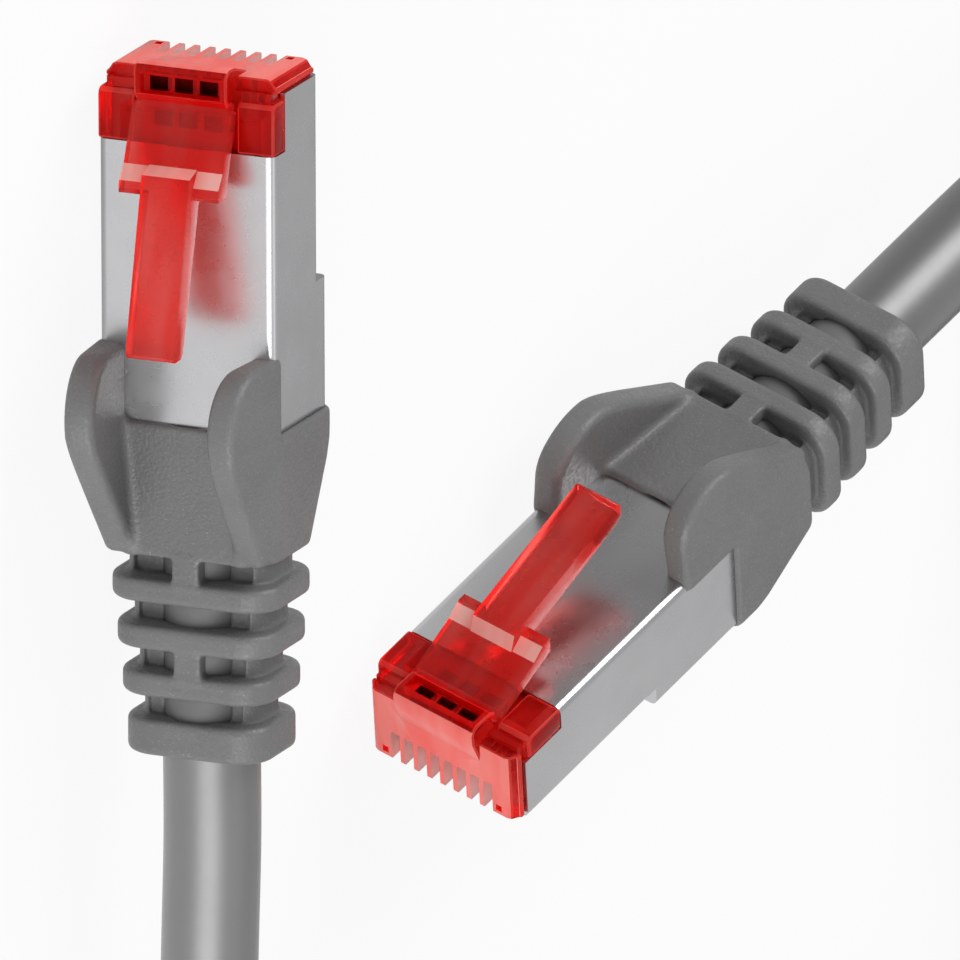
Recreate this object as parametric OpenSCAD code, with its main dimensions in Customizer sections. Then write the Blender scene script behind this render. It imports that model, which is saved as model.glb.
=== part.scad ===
// Shielded ethernet patch cable: two eight-contact plugs on one round screened cable,
// lying on a table, with the spare length wound into a tied coil.
// A plug has its own axes: x across, y back from the nose, z from the belly to the latch.

/* [Plug shield] */
// Width of the plug over its shield
plug_w = 11.7; // [11.5:0.05:11.8]
// Height of the plug's front part over its shield
plug_h = 6.6; // [6.4:0.05:6.7]
// Thickness of the shield's sheet
shield_t = 0.3; // [0.2:0.05:0.35]
// Outside radius of the shield's bends
shield_r = 0.55; // [0.45:0.05:0.8]
// Start of the shield's side walls behind the nose face
side_y = 1.0; // [0.9:0.05:1.2]
// Height of the side walls where the top is still open
side_h = 4.9; // [4.6:0.1:5.1]
// Start of the shield's top behind the nose face
top_y = 4.65; // [4.4:0.05:5.0]
// Length of the open belly window for the contacts
belly_y = 9.5; // [9.0:0.1:10.5]
// Place of the step where the belly drops
step_y = 14.0; // [13.5:0.1:14.5]
// Drop of the belly behind that step
step_drop = 1.2; // [0.8:0.1:1.4]
// Rear end of the shield, inside the boot
shield_end = 25.0; // [24.5:0.1:25.5]

/* [Nose] */
// Height of the front plate
lip_h = 5.7; // [5.5:0.05:5.9]
// Thickness of the front plate
lip_t = 1.4; // [1.3:0.05:1.6]
// Rear end of the housing, inside the shield
nose_end = 13.0; // [12.6:0.1:13.4]
// Width of each shoulder block
shoulder_w = 2.45; // [2.2:0.05:2.5]
// Edge radius of the shoulder blocks
shoulder_r = 0.35; // [0.2:0.05:0.6]
// Width of the hump that carries the latch
hump_w = 6.2; // [5.8:0.1:6.4]
// How far the hump stands out of the nose face
hump_out = 0.65; // [0.4:0.05:0.8]
// Height of the hump
hump_h = 7.45; // [7.3:0.05:7.6]
// Wall of the hump around its trough
trough_wall = 0.45; // [0.35:0.05:0.6]
// Depth of the trough
trough_deep = 0.65; // [0.4:0.05:0.7]
// Width of a window over the wire holder
window_w = 1.2; // [1.0:0.05:1.3]
// Spacing of these windows
window_pitch = 1.65; // [1.55:0.05:1.7]
// Spacing of the contacts
contact_pitch = 1.016; // [0.98:0.004:1.04]
// Width of a contact slot
slot_w = 0.55; // [0.45:0.05:0.6]
// Thickness of a contact blade
blade_t = 0.35; // [0.25:0.05:0.4]

/* [Latch] */
// Width of the latch plate
latch_w = 6.6; // [6.2:0.1:6.7]
// Width of the latch tail
tail_w = 3.2; // [3.0:0.1:3.6]
// Rear end of the latch plate behind the nose face
catch_y = 7.1; // [6.8:0.1:7.4]
// Height of the plate's rear end
catch_h = 9.2; // [9.0:0.1:9.4]
// Rear end of the tail behind the nose face
tail_y = 16.65; // [15.5:0.05:17.0]
// Height of the tail's rear end
tail_h = 12.1; // [11.8:0.1:12.4]
// Thickness of the tail
tail_t = 1.45; // [1.2:0.05:1.6]
// Radius of the bead that the latch turns on
bead_r = 0.5; // [0.4:0.05:0.5]

/* [Boot] */
// Front edge of the boot behind the nose face
boot_y = 22.2; // [21.8:0.1:22.6]
// Rear end of the boot's body
body_end = 30.6; // [30.2:0.1:31.0]
// Wall of the boot around the shield
boot_wall = 0.45; // [0.4:0.05:0.6]
// Edge radius of the boot's body
boot_r = 1.6; // [1.2:0.1:1.8]
// Front edge of the two ears
ear_y = 17.4; // [17.2:0.1:18.0]
// Height of the ears
ear_h = 12.5; // [12.1:0.1:12.8]
// Thickness of the ears
ear_t = 2.0; // [1.6:0.1:2.2]
// Lean of the ears towards each other
ear_lean = 5; // [3:0.5:7]
// Taper of the boot's body towards the ribs, on each side
body_taper = 0.8; // [0.6:0.1:0.9]
// Width of the first rib of the strain relief
rib_w = 11.2; // [11.0:0.1:11.4]
// Width of the last rib
rib_end_w = 9.5; // [9.2:0.1:9.8]
// Height of the first rib
rib_h = 7.8; // [7.6:0.1:8.0]
// Height of the last rib
rib_end_h = 7.2; // [7.0:0.1:7.4]
// Length of a rib
rib_len = 1.55; // [1.4:0.05:1.6]
// Length of the last rib
rib_end_len = 2.3; // [2.0:0.1:2.6]
// Length of a groove between ribs
groove_len = 1.45; // [1.3:0.05:1.6]
// Depth of a groove
groove_depth = 0.9; // [0.7:0.05:0.95]
// Width of the web between two windows of a groove
web_w = 1.8; // [1.6:0.1:2.4]
// Wall between a window and the side of its groove
window_wall = 0.75; // [0.6:0.05:0.8]

/* [Cable] */
// Outside diameter of the cable
cable_d = 6.0; // [5.8:0.1:6.2]
// Height of the cable's axis above the plug's belly
axis_h = 3.2; // [3.1:0.05:3.3]
// Wall of the cable's jacket
jacket_t = 0.4; // [0.35:0.05:0.45]
// Diameter of a foil-wrapped pair
pair_d = 2.0; // [1.9:0.05:2.05]
// Diameter of a wire's insulation
wire_d = 0.9; // [0.8:0.05:0.9]

/* [Coil] */
// Outer radius of the coil, along the cable's axis
coil_r = 38; // [37:0.5:39]
// Free length between the second plug's boot and the coil
lead_b_len = 44; // [42:0.5:46]
// Bend radius of the free length at the first plug
bend_r = 27; // [26:0.5:28]
// Free gap between neighbouring turns
turn_gap = 0.5; // [0.45:0.05:0.6]
// Width of a tie
tie_w = 10; // [8:0.5:12]
// Thickness of a tie
tie_t = 0.5; // [0.4:0.1:0.8]

/* [Rest on the table] */
// Turn of each plug about its own length, from latch up towards its side
plug_roll = 75; // [70:1:80]
// Turn of the second plug about the vertical
plug_b_yaw = 114.5; // [113:0.5:116]

/* [Hidden] */
$fn = 48;

// Clearances: between fitted pieces, in the snug bores, and past a face that is cut through
fit = 0.1;
snug = 0.03;
past = 1;

// Colours
red = [0.85, 0.1, 0.1, 0.85];
nickel = [0.78, 0.78, 0.8];
gold = [0.9, 0.72, 0.3];
bar_grey = [0.2, 0.2, 0.22];
boot_grey = [0.46, 0.46, 0.46];
cable_grey = [0.5, 0.5, 0.5];
tie_black = [0.1, 0.1, 0.1];

// Inside of the shield, and the core of the housing that fits it
half_w = plug_w / 2;
core_half = half_w - shield_t - fit;
core_bottom = shield_t + fit;
core_top = plug_h - shield_t - fit;
inner_r = shield_r - shield_t;
belly_half = half_w - 2 * shield_t;

// Housing details
plate_half = half_w - 0.15;
plate_chamfer = 0.3;
foot_h = 0.25;
slot_h = 2.65;
slot_end = 6.2;
shoulder_in = half_w - shoulder_w;
hump_foot = 4.4;
hump_half = hump_w / 2;
trough_y = 0.05;
trough_end = 1.25;
window_deep = 0.7;
window_len = 0.95;
window_rows = [trough_y + 0.15, 2.6];
cavity_y = 2.6;
cavity_half = 4.7;
cavity_top = 5.75;

// Contacts: one slot and blade each
contact_x = [for (i = [0:7]) (i - 3.5) * contact_pitch];
blade_y = 1.7;
blade_end = 5.9;
blade_foot = 0.6;
blade_nose = 0.8;

// Latch: hinge line at its root, plate up to the catch, raised tail
hinge_y = 1.9;
hinge_z = core_top + 0.4;
bead_play = 0.06;
bead_l = hump_w - 2 * fit;
plate_t = 1.1;
catch_land = 0.6;
catch_ramp = 1.7;
catch_rise = 0.75;
tail_start = catch_y - 1.2;
tail_step = 0.75;
tail_ramp = 0.5;
tail_chamfer = 0.3;

// Wire holder: two rows of bores, outer and middle contacts in the upper row
bar_half = cavity_half - fit;
bar_y = cavity_y + 0.4;
bar_end = 12;
bar_bottom = slot_h;
bar_top = cavity_top - fit;
row_low = bar_bottom + 0.8;
row_high = bar_top - 0.8;
wire_row = [row_high, row_low, row_low, row_high, row_high, row_low, row_low, row_high];
wire_y = bar_y + 0.3;
fan_y = 13;
fan_end = 20;
foil_y = 20.3;
wire_end = 22;
wire_side = wire_d / 2 + 0.03;
wire_knee = wire_d / 2 + 0.015;

// Pairs in the cable, as a cross about its axis
pair_off = pair_d * 0.725;
pair_place = [[-1, 0], [0, -1], [0, 1], [1, 0]];
foil_t = 0.05;

// Rear end: jacket, braid collar, boot
jacket_y = 23.6;
collar_y = shield_end + 2 * snug;
collar_end = 28.5;
collar_t = 0.45;
collar_in = cable_d / 2 + snug;
collar_out = collar_in + collar_t;
boot_half = half_w + snug + boot_wall;
boot_bottom = -step_drop - snug - boot_wall;
boot_top = plug_h + snug + boot_wall;
ribs = 4;
rib_r = 2.2;
rib_pitch = rib_len + groove_len;
boot_end = body_end + ribs * rib_pitch - rib_len + rib_end_len;
window_z = 1.2;
ear_foot = plug_h + snug;
ear_skirt = 0.6;
ear_root = ear_foot - boot_r;
ear_front_h = 9.3;
ear_crest = 3.8;
ear_slope_y = 24.3;
ear_slope_h = ear_h - 1.3;
ear_end = 28.4;
ear_end_h = boot_top;

// How a plug lies: on the nose edge of its shield and on a lower edge of its boot
function drop(half, bottom, r) = sin(plug_roll) * (half - r) - cos(plug_roll) * (bottom + r) + r;
nose_low = drop(half_w, 0, shield_r);
boot_low = drop(boot_half, boot_bottom, boot_r);
plug_pitch = atan((boot_low - nose_low) / (boot_y - side_y));
table_gap = 0.02;
rest_h = nose_low * cos(plug_pitch) - side_y * sin(plug_pitch) + table_gap;
plug_a = [[-26.4, -24.2, rest_h], plug_roll, 0];
plug_b = [[26.1, -2, rest_h], -plug_roll, plug_b_yaw];

function turn_x(v, a) = [v.x, v.y * cos(a) - v.z * sin(a), v.y * sin(a) + v.z * cos(a)];
function turn_y(v, a) = [v.x * cos(a) + v.z * sin(a), v.y, v.z * cos(a) - v.x * sin(a)];
function turn_z(v, a) = [v.x * cos(a) - v.y * sin(a), v.x * sin(a) + v.y * cos(a), v.z];
function plug_point(plug, v) =
    plug[0] + turn_z(turn_y(turn_x(turn_z(v, -90), plug[1]), -plug_pitch), plug[2]);
module at_plug(plug)
    translate(plug[0]) rotate([plug[1], -plug_pitch, plug[2]]) rotate([0, 0, -90]) children();

// Coil: spirals in along the lower layer, climbs in half a turn, spirals out along the upper one
turn_pitch = cable_d + turn_gap;
b_exit = plug_point(plug_b, [0, boot_end, axis_h]);
coil_c = [
    b_exit.x + lead_b_len * cos(plug_b_yaw) + coil_r * sin(plug_b_yaw),
    b_exit.y + lead_b_len * sin(plug_b_yaw) - coil_r * cos(plug_b_yaw)
];
coil_z = tie_t + fit + cable_d / 2;
coil_turns = 3 + (plug_b_yaw + 90) / 360;
coil_mid = coil_turns / 2;
coil_in = coil_r - turn_pitch * coil_mid;
rings_per_turn = 24;
coil_rings = round(rings_per_turn * coil_turns);
function ease(u) = let (c = min(max(u, 0), 1)) c * c * (3 - 2 * c);
function coil_at(t) =
    let (r = coil_in + turn_pitch * abs(t - coil_mid))
    let (z = coil_z + turn_pitch * ease(2 * (t - coil_mid) + 0.5))
    [coil_c.x + r * cos(360 * t), coil_c.y + r * sin(360 * t), z];
coil_path = [for (i = [0:coil_rings]) coil_at(coil_turns * i / coil_rings)];

// Free stretches: straight out of each boot; the first one bends round along the table to the
// coil's start, the second one runs straight to the coil's end
floor_z = cable_d / 2;
straight = cable_d;
a_exit = plug_point(plug_a, [0, boot_end, axis_h]);
a_out = plug_point(plug_a, [0, boot_end + straight, axis_h]);
b_out = plug_point(plug_b, [0, boot_end + straight, axis_h]);
lead_x = coil_c.x + coil_r;
run_start = a_out.y + bend_r;
run_end = coil_c.y - 3 * straight;
lead_a_path = concat(
    [a_exit, a_out],
    [for (a = [-90:15:0]) [
        lead_x + bend_r * (cos(a) - 1), a_out.y + bend_r * (sin(a) + 1),
        floor_z + (a_out.z - floor_z) * (1 - ease(a / 90 + 1))
    ]],
    [for (u = [0.2, 0.4, 0.6, 0.8]) [lead_x, run_start + (run_end - run_start) * u, floor_z]],
    [[lead_x, run_end, (floor_z + coil_z) / 2], [lead_x, coil_c.y - straight, coil_z], coil_path[0]]
);
coil_first = [0, 1, 0];
coil_final = -[cos(plug_b_yaw), sin(plug_b_yaw), 0];
coil_end = coil_path[coil_rings];
coil_out = coil_end + straight * coil_final;
lead_b_path = concat(
    [coil_end, coil_out],
    [for (u = [0.25, 0.5, 0.75]) let (p = coil_out + (b_out - coil_out) * u)
        [p.x, p.y, coil_out.z + (b_out.z - coil_out.z) * ease(u)]],
    [b_out, b_exit]
);

// Least free gap of the coil to itself, between points more than a third of a turn apart
coil_gap = min([
    for (i = [0:coil_rings], j = [i + rings_per_turn / 3:1:coil_rings]) norm(coil_path[i] - coil_path[j])
]) - cable_d;
echo(coil_gap = coil_gap);
function path_length(p) =
    [for (i = [1:len(p) - 1]) norm(p[i] - p[i - 1])] * [for (i = [2:len(p)]) 1];
free_length = path_length(lead_a_path) + path_length(coil_path) + path_length(lead_b_path);
echo(cable_length = free_length + 2 * boot_end);

// Ties: a band around the four passes of the coil at two places
tie_angles = [30, 150];
function passes(a) = [for (i = [0:3]) coil_in + turn_pitch * abs(a / 360 + i - coil_mid)];
tie_top = coil_z + turn_pitch + cable_d / 2;

// A round tube along a path, with flat ends square to the directions first and final
function unit(v) = v / norm(v);
function along(p, i) = unit(p[i + 1] - p[i - 1]);
function ring(c, t, r, sides) =
    let (side = unit(cross(t, [0, 0, 1])), up = cross(side, t))
    [for (k = [0:sides - 1]) c + r * (cos(360 * k / sides) * side + sin(360 * k / sides) * up)];
module tube_along(p, r, sides, first, final) {
    n = len(p) - 1;
    last = n * sides;
    points = concat(
        ring(p[0], first, r, sides), [for (i = [1:n - 1]) each ring(p[i], along(p, i), r, sides)],
        ring(p[n], final, r, sides)
    );
    wall = [
        for (i = [0:n - 1], k = [0:sides - 1])
            let (a = i * sides + k, b = i * sides + (k + 1) % sides)
            each [[a, b, b + sides], [a, b + sides, a + sides]]
    ];
    ends = [for (k = [1:sides - 2]) each [[0, k + 1, k], [last, last + k, last + k + 1]]];
    polyhedron(points, concat(wall, ends));
}

// Flat outlines and ways to thicken them in a plug's axes
module rounded_outline(half, bottom, top, r) {
    translate([-half, bottom + r]) square([2 * half, top - bottom - 2 * r]);
    translate([r - half, bottom]) square([2 * (half - r), top - bottom]);
    for (x = [-1, 1], z = [bottom + r, top - r]) translate([x * (half - r), z]) circle(r);
}
module from_y(y, len) translate([0, y + len, 0]) rotate([90, 0, 0]) linear_extrude(len) children();
module from_x(x, len) translate([x, 0, 0]) rotate([90, 0, 90]) linear_extrude(len) children();
module rod_y(x, z, r, y, end) translate([x, y, z]) rotate([-90, 0, 0]) cylinder(r = r, h = end - y);
module rod_between(a, b, r) {
    v = b - a;
    translate(a) rotate([0, acos(v.z / norm(v)), atan2(v.y, v.x)]) cylinder(r = r, h = norm(v));
}
module block(x, y, z) translate([x[0], y[0], z[0]]) cube([x[1] - x[0], y[1] - y[0], z[1] - z[0]]);

module front_plate() {
    plan = [
        [plate_half - 2 * plate_chamfer, 0], [plate_half - plate_chamfer, 0.4 * plate_chamfer],
        [plate_half, plate_chamfer + 0.3], [plate_half, side_y - fit], [core_half, side_y - fit],
        [core_half, lip_t]
    ];
    translate([0, 0, foot_h])
        linear_extrude(lip_h - foot_h)
        polygon(concat(plan, [for (i = [len(plan) - 1:-1:0]) [-plan[i].x, plan[i].y]]));
}

module shoulder(side) {
    x = side > 0 ? shoulder_in : -half_w;
    from_x(x, shoulder_w)
        translate([(lip_t + top_y - snug) / 2, 0])
        rounded_outline((top_y - snug - lip_t) / 2, side_h + snug, plug_h, shoulder_r);
}

module hump() {
    outline = [
        [0, hump_foot], [-hump_out, hump_h - 1.2], [-hump_out, hump_h - 0.5], [-hump_out + 0.45, hump_h],
        [1.2, hump_h], [1.6, hump_h - 0.25], [hinge_y, hinge_z], [hinge_y, hump_foot]
    ];
    from_x(-hump_half, hump_w) polygon(outline);
}

// Trough in the hump, a row of pockets in it, and a row of windows behind the hinge
module hump_openings() {
    trough_half = hump_half - trough_wall;
    floor_h = hump_h - trough_deep;
    block([-trough_half, trough_half], [trough_y, trough_end], [floor_h, hump_h + past]);
    for (x = [-1, 0, 1] * window_pitch, row = [0, 1])
        block(
            [x - window_w / 2, x + window_w / 2], [window_rows[row], window_rows[row] + window_len],
            [row == 0 ? floor_h - window_deep : cavity_top - fit, hump_h + past]
        );
}

module nose_housing() {
    color(red) difference() {
        union() {
            block([-core_half, core_half], [side_y, nose_end], [core_bottom, core_top]);
            front_plate();
            shoulder(1);
            shoulder(-1);
            block(
                [-half_w + snug, half_w - snug], [lip_t, top_y - shoulder_r], [side_h + snug, core_top - fit]
            );
            hump();
        }
        for (x = contact_x) block([x - slot_w / 2, x + slot_w / 2], [-past, slot_end], [-past, slot_h]);
        block([-cavity_half, cavity_half], [cavity_y, nose_end + past], [slot_h, cavity_top]);
        from_x(-hump_w, 2 * hump_w) translate([hinge_y, hinge_z]) circle(bead_r + bead_play);
        hump_openings();
    }
}

module latch() {
    slope = (catch_h - hinge_z - bead_r) / (catch_y - hinge_y);
    plate = [
        [hinge_y, hinge_z + bead_r], [catch_y - catch_ramp, catch_h - catch_rise],
        [catch_y - catch_land, catch_h], [catch_y, catch_h], [catch_y, catch_h - plate_t],
        [hinge_y + 0.3, hinge_z - bead_r + 0.3], [hinge_y, hinge_z]
    ];
    step_low = hinge_z + bead_r + slope * (tail_start - tail_ramp - hinge_y) - 0.2;
    tail_front_h = catch_h - slope * (catch_y - tail_start) + tail_step;
    tail = [
        [tail_start - tail_ramp, step_low], [tail_start, tail_front_h], [tail_y - tail_chamfer, tail_h],
        [tail_y, tail_h - tail_chamfer], [tail_y, tail_h - tail_t + tail_chamfer],
        [tail_y - tail_chamfer, tail_h - tail_t], [catch_y, catch_h - plate_t],
        [tail_start - tail_ramp, step_low - 0.3]
    ];
    color(red) {
        from_x(-latch_w / 2, latch_w) polygon(plate);
        from_x(-tail_w / 2, tail_w) polygon(tail);
        from_x(-bead_l / 2, bead_l) translate([hinge_y, hinge_z]) circle(bead_r);
    }
}

module shield_shell() {
    color(nickel) difference() {
        union() {
            from_y(side_y, shield_end - side_y) rounded_outline(half_w, 0, plug_h, shield_r);
            from_y(step_y, shield_end - step_y) rounded_outline(half_w, -step_drop, plug_h, shield_r);
        }
        from_y(-past, shield_end + 2 * past)
            rounded_outline(half_w - shield_t, shield_t, plug_h - shield_t, inner_r);
        from_y(step_y + shield_t, shield_end)
            rounded_outline(half_w - shield_t, shield_t - step_drop, plug_h - shield_t, inner_r);
        block([-plug_w, plug_w], [-past, top_y], [side_h, plug_h + past]);
        block([-belly_half, belly_half], [-past, belly_y], [-past, core_bottom]);
    }
}

module contact_blades() {
    outline = [
        [blade_y + blade_nose, blade_foot], [blade_end, blade_foot], [blade_end, slot_h],
        [blade_y, slot_h], [blade_y, blade_foot + blade_nose]
    ];
    color(gold) for (x = contact_x) from_x(x - blade_t / 2, blade_t) polygon(outline);
}

module load_bar() {
    color(bar_grey) difference() {
        block([-bar_half, bar_half], [bar_y, bar_end], [bar_bottom, bar_top]);
        for (i = [0:7]) rod_y(contact_x[i], wire_row[i], wire_d / 2 + snug, bar_y - past, bar_end + past);
    }
}

// One wire: straight through the holder, a slanting run, then straight into its foil
module wire(i, x, z) {
    a = [contact_x[i], fan_y, wire_row[i]];
    b = [x, fan_end, z];
    rod_y(a.x, a.z, wire_d / 2, wire_y, fan_y);
    rod_between(a, b, wire_d / 2);
    rod_y(b.x, b.z, wire_d / 2, fan_end, wire_end);
    for (p = [a, b]) translate(p) sphere(wire_knee);
}
module wire_pair_orange() {
    color("orange") for (k = [0, 1]) wire(k, -pair_off, axis_h + (1 - 2 * k) * wire_side);
}
module wire_pair_green() {
    color("green") for (k = [0, 1]) wire(k == 0 ? 2 : 5, (2 * k - 1) * wire_side, axis_h - pair_off);
}
module wire_pair_blue() {
    color("royalblue") for (k = [0, 1]) wire(3 + k, (2 * k - 1) * wire_side, axis_h + pair_off);
}
module wire_pair_brown() {
    color("saddlebrown") for (k = [0, 1]) wire(6 + k, pair_off, axis_h + (2 * k - 1) * wire_side);
}

module pair_foils() {
    color(nickel) for (p = pair_place) difference() {
        rod_y(p.x * pair_off, axis_h + p.y * pair_off, pair_d / 2, foil_y, boot_end);
        rod_y(p.x * pair_off, axis_h + p.y * pair_off, pair_d / 2 - foil_t, foil_y - past, wire_end);
    }
}

module braid_collar() {
    color(nickel) difference() {
        rod_y(0, axis_h, collar_out, collar_y, collar_end);
        rod_y(0, axis_h, collar_in, collar_y - past, collar_end + past);
    }
}

module jacket_end() {
    color(cable_grey) difference() {
        rod_y(0, axis_h, cable_d / 2, jacket_y, boot_end);
        rod_y(0, axis_h, cable_d / 2 - jacket_t, jacket_y - past, boot_end + past);
    }
}

// Guard beside the latch: upright front, rounded crest, sloping back
module ear_outline() {
    crest = ear_h - ear_front_h;
    polygon(concat(
        [[ear_y, ear_foot - ear_skirt]],
        [for (a = [180:-15:75]) [ear_y + ear_crest * (1 + cos(a)), ear_front_h + crest * sin(a)]],
        [[ear_slope_y, ear_slope_h], [ear_end, ear_end_h], [ear_end, ear_root], [boot_y, ear_root],
         [boot_y, ear_foot - ear_skirt]]
    ));
}

module ear() {
    translate([boot_half, 0, ear_root]) rotate([0, -ear_lean, 0]) translate([0, 0, -ear_root])
        from_x(-ear_t, ear_t) ear_outline();
}

// Body around the shield's end, narrower towards the ribs at its sides and belly
module boot_body() {
    plan = [[boot_half, boot_y], [boot_half - body_taper, body_end]];
    intersection() {
        from_y(boot_y, body_end - boot_y) rounded_outline(boot_half, boot_bottom, boot_top, boot_r);
        translate([0, 0, -plug_w]) linear_extrude(2 * plug_w)
            polygon(concat(plan, [for (i = [1, 0]) [-plan[i].x, plan[i].y]]));
        from_x(-plug_w, 2 * plug_w) polygon([
            [boot_y, boot_bottom], [body_end, boot_bottom + body_taper], [body_end, plug_w], [boot_y, plug_w]
        ]);
    }
}

function rib_start(i) = body_end + groove_len + i * rib_pitch;
function rib_half(i) = (rib_w + (rib_end_w - rib_w) * i / (ribs - 1)) / 2;
function rib_rise(i) = (rib_h + (rib_end_h - rib_h) * i / (ribs - 1)) / 2;
function neck_half(i) = rib_half(i) - groove_depth;

// Ribs and grooves: grooves 1 and 3 keep a web on top and below, the others a web on each side
module strain_relief() {
    for (i = [0:ribs - 1]) {
        from_y(rib_start(i), i == ribs - 1 ? rib_end_len : rib_len)
            rounded_outline(rib_half(i), axis_h - rib_rise(i), axis_h + rib_rise(i), rib_r);
        from_y(rib_start(i) - groove_len - snug, groove_len + 2 * snug) {
            rounded_outline(
                neck_half(i), axis_h - rib_rise(i) + groove_depth, axis_h + rib_rise(i) - groove_depth,
                rib_r - groove_depth / 2
            );
            if (i % 2 == 0) translate([-web_w / 2, axis_h - rib_rise(i)]) square([web_w, 2 * rib_rise(i)]);
        }
    }
}
module groove_windows(i) {
    inner = i % 2 == 0 ? web_w / 2 : 0;
    outer = neck_half(i) - window_wall;
    y = [rib_start(i) - groove_len, rib_start(i)];
    for (x = [[inner, outer], [-outer, -inner]], z = [[window_z, plug_w], [-plug_w, -window_z]])
        block(x, y, [axis_h + z[0], axis_h + z[1]]);
}

module boot() {
    color(boot_grey) difference() {
        union() {
            boot_body();
            for (side = [0, 1]) mirror([side, 0, 0]) ear();
            strain_relief();
        }
        from_y(ear_y - past, shield_end + snug - ear_y + past)
            rounded_outline(half_w + snug, -step_drop - snug, plug_h + snug, shield_r);
        rod_y(0, axis_h, collar_out + snug, boot_y, collar_end + snug);
        rod_y(0, axis_h, cable_d / 2 + snug, boot_y, boot_end + past);
        for (i = [0:ribs - 1]) groove_windows(i);
    }
}

module lead_a() {
    color(cable_grey) tube_along(lead_a_path, cable_d / 2, 10, unit(a_out - a_exit), coil_first);
}
module cable_coil() color(cable_grey) tube_along(coil_path, cable_d / 2, 6, coil_first, coil_final);
module lead_b() {
    color(cable_grey) tube_along(lead_b_path, cable_d / 2, 10, coil_final, unit(b_exit - b_out));
}

module coil_tie(angle) {
    inner = min(passes(angle));
    swing = asin(tie_w / 2 / inner) + 180 / rings_per_turn;
    near = inner * cos(swing) - cable_d / 2 - 2 * fit;
    far = max(passes(angle)) + cable_d / 2 + 2 * fit;
    color(tie_black) translate([coil_c.x, coil_c.y, 0]) rotate([0, 0, angle]) difference() {
        block([near - tie_t, far + tie_t], [-tie_w / 2, tie_w / 2], [0, tie_top + fit + tie_t]);
        block([near, far], [-tie_w, tie_w], [tie_t, tie_top + fit]);
    }
}

at_plug(plug_a) nose_housing();  // nose_housing_a
at_plug(plug_a) latch();  // latch_a
at_plug(plug_a) shield_shell();  // shield_shell_a
at_plug(plug_a) contact_blades();  // contact_blades_a
at_plug(plug_a) load_bar();  // load_bar_a
at_plug(plug_a) wire_pair_orange();  // wire_pair_orange_a
at_plug(plug_a) wire_pair_green();  // wire_pair_green_a
at_plug(plug_a) wire_pair_blue();  // wire_pair_blue_a
at_plug(plug_a) wire_pair_brown();  // wire_pair_brown_a
at_plug(plug_a) pair_foils();  // pair_foils_a
at_plug(plug_a) braid_collar();  // braid_collar_a
at_plug(plug_a) jacket_end();  // jacket_end_a
at_plug(plug_a) boot();  // boot_a
at_plug(plug_b) nose_housing();  // nose_housing_b
at_plug(plug_b) latch();  // latch_b
at_plug(plug_b) shield_shell();  // shield_shell_b
at_plug(plug_b) contact_blades();  // contact_blades_b
at_plug(plug_b) load_bar();  // load_bar_b
at_plug(plug_b) wire_pair_orange();  // wire_pair_orange_b
at_plug(plug_b) wire_pair_green();  // wire_pair_green_b
at_plug(plug_b) wire_pair_blue();  // wire_pair_blue_b
at_plug(plug_b) wire_pair_brown();  // wire_pair_brown_b
at_plug(plug_b) pair_foils();  // pair_foils_b
at_plug(plug_b) braid_collar();  // braid_collar_b
at_plug(plug_b) jacket_end();  // jacket_end_b
at_plug(plug_b) boot();  // boot_b
lead_a();
cable_coil();
lead_b();
coil_tie(tie_angles[0]);  // coil_tie_a
coil_tie(tie_angles[1]);  // coil_tie_b
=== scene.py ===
import math

import bmesh
import bpy
import numpy as np
from mathutils import Matrix, Vector


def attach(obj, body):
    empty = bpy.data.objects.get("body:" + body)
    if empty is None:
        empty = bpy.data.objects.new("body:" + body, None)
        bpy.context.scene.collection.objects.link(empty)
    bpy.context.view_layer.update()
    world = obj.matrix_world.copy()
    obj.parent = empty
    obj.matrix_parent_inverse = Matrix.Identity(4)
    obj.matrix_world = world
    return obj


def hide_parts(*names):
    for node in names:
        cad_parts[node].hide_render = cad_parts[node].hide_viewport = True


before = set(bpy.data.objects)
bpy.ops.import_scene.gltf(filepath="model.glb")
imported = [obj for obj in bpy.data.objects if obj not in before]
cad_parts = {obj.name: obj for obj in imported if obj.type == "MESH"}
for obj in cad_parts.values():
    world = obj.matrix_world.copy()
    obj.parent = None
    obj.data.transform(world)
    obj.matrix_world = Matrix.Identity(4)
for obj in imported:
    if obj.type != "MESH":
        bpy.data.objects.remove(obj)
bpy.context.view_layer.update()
scene = bpy.context.scene
scene.view_settings.view_transform = "Standard"

# Sizes are in mm, with the CAD source's names where it has them, and a piece goes into metres when it is
# placed. A plug has its own axes: x across, y back from the nose, z from the belly to the latch.
MM = 0.001
FIT = 0.1
SNUG = 0.03
PAST = 1.0

# Shield
PLUG_W = 11.7
PLUG_H = 6.6
HALF_W = PLUG_W / 2
SHIELD_T = 0.3
SHIELD_R = 0.55
SIDE_Y = 1.0
SIDE_H = 4.9
TOP_Y = 4.65
STEP_DROP = 1.2
SHIELD_END = 25.0

# Boot and cable
BOOT_Y = 22.2
BODY_END = 30.6
BOOT_WALL = 0.45
BOOT_R = 1.6
BOOT_HALF = HALF_W + SNUG + BOOT_WALL
BOOT_BOTTOM = -STEP_DROP - SNUG - BOOT_WALL
BOOT_TOP = PLUG_H + SNUG + BOOT_WALL
RIBS = 4
RIB_LEN = 1.55
RIB_END_LEN = 2.3
GROOVE_LEN = 1.45
RIB_PITCH = RIB_LEN + GROOVE_LEN
BOOT_END = BODY_END + RIBS * RIB_PITCH - RIB_LEN + RIB_END_LEN
CABLE_D = 6.0
CABLE_R = CABLE_D / 2
AXIS_H = 3.2

# How a plug lies: rolled on its side, on the nose edge of its shield and a lower edge of its boot
PLUG_ROLL = math.radians(75)
PLUG_B_YAW = math.radians(114.5)
PLUG_A_PLACE = (-26.4, -24.2)
PLUG_B_PLACE = (26.1, -2.0)
TABLE_GAP = 0.02


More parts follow.
